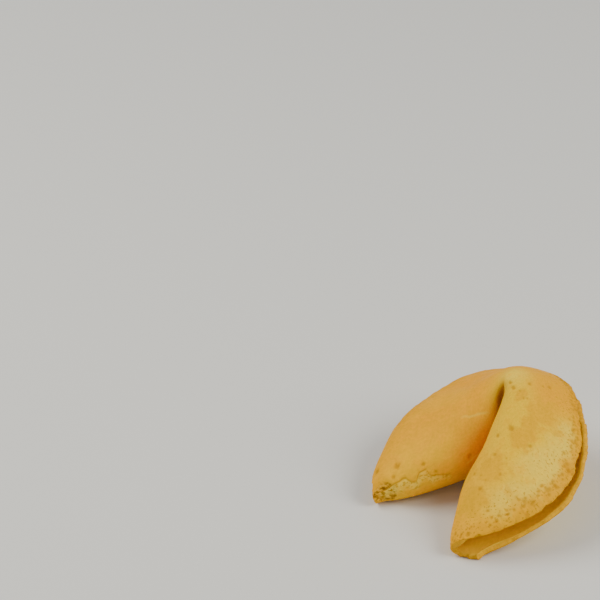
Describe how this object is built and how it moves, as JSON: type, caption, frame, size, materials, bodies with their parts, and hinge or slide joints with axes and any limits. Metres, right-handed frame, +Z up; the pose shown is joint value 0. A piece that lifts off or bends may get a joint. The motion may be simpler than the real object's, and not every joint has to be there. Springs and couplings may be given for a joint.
{
  "type": "fortune cookie",
  "caption": "Hollow crisp cookie: a thin round wafer folded in half and bent across its fold into two puffed lobes with an open slit round the back",
  "frame": {"origin": "centre of the bounding box's underside", "axes": "+Z up as the cookie rests, the V between the lobes opens towards -Y, the lobes lie to -X and +X"},
  "size_m": [0.0446, 0.0456, 0.0286],
  "materials": {
    "crust": "baked, satin"
  },
  "bodies": {
    "root": {"cookie": "crust"}
  },
  "joints": []
}
